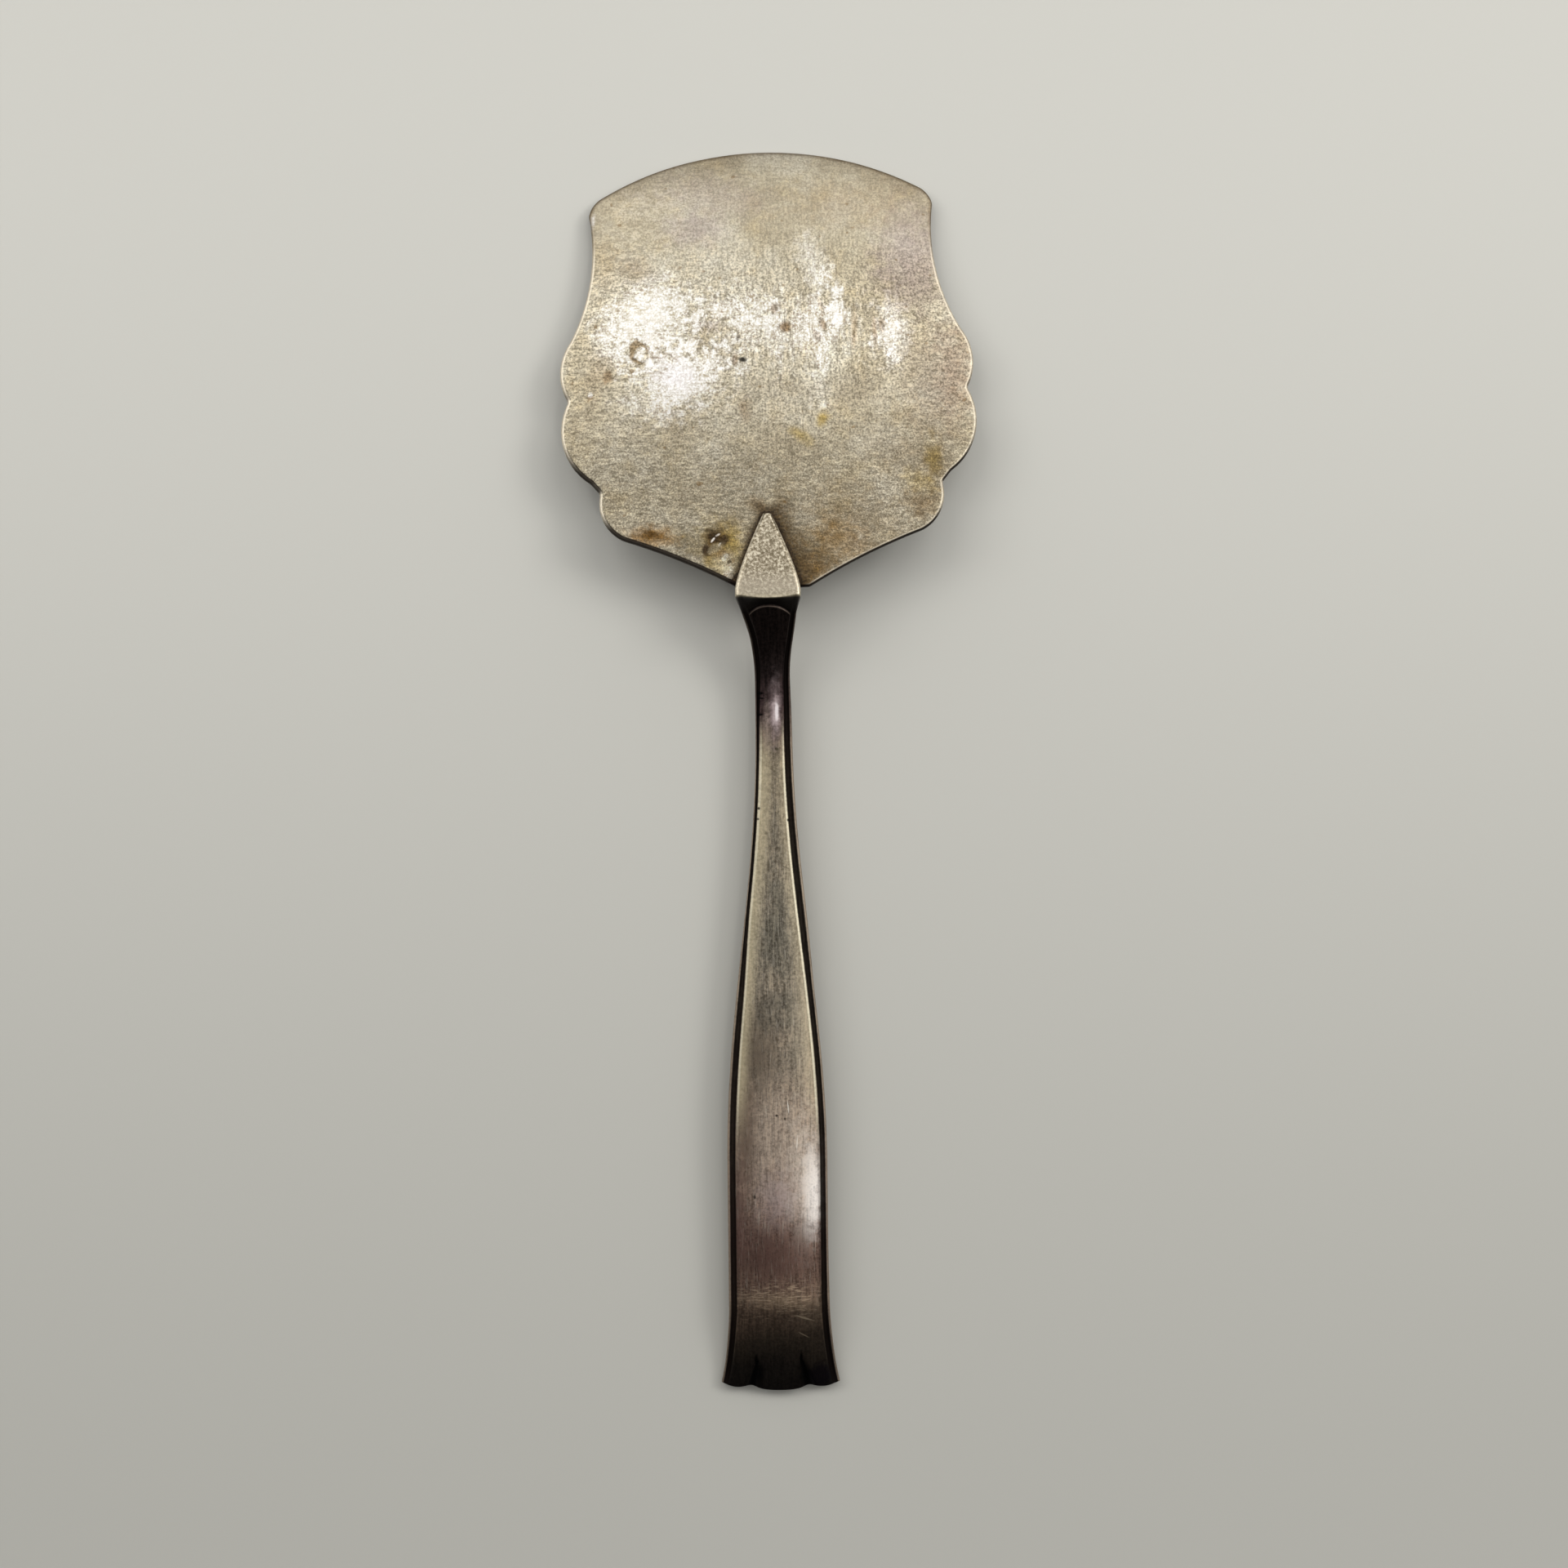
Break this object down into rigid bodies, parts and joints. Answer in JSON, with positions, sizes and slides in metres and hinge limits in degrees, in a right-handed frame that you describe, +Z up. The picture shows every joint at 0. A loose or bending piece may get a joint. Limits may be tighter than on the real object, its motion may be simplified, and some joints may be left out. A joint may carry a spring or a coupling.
{
  "type": "serving spatula",
  "caption": "Tarnished silver-plated serving spatula with a scalloped, dished blade soldered under the pointed tongue of a panelled handle with a lobed end, lying back up.",
  "frame": {"origin": "on the table, under the centre of the bounding box", "axes": "+Y runs from the handle to the front edge of the blade, +X is to the right seen from above, +Z is up, out of the back of the spatula"},
  "size_m": [0.0698, 0.2102, 0.0148],
  "materials": {
    "blade_plate": "worn, lightly tarnished silver plate",
    "handle_plate": "heavily tarnished silver plate"
  },
  "bodies": {
    "root": {"blade": "blade_plate", "handle": "handle_plate"}
  },
  "joints": []
}
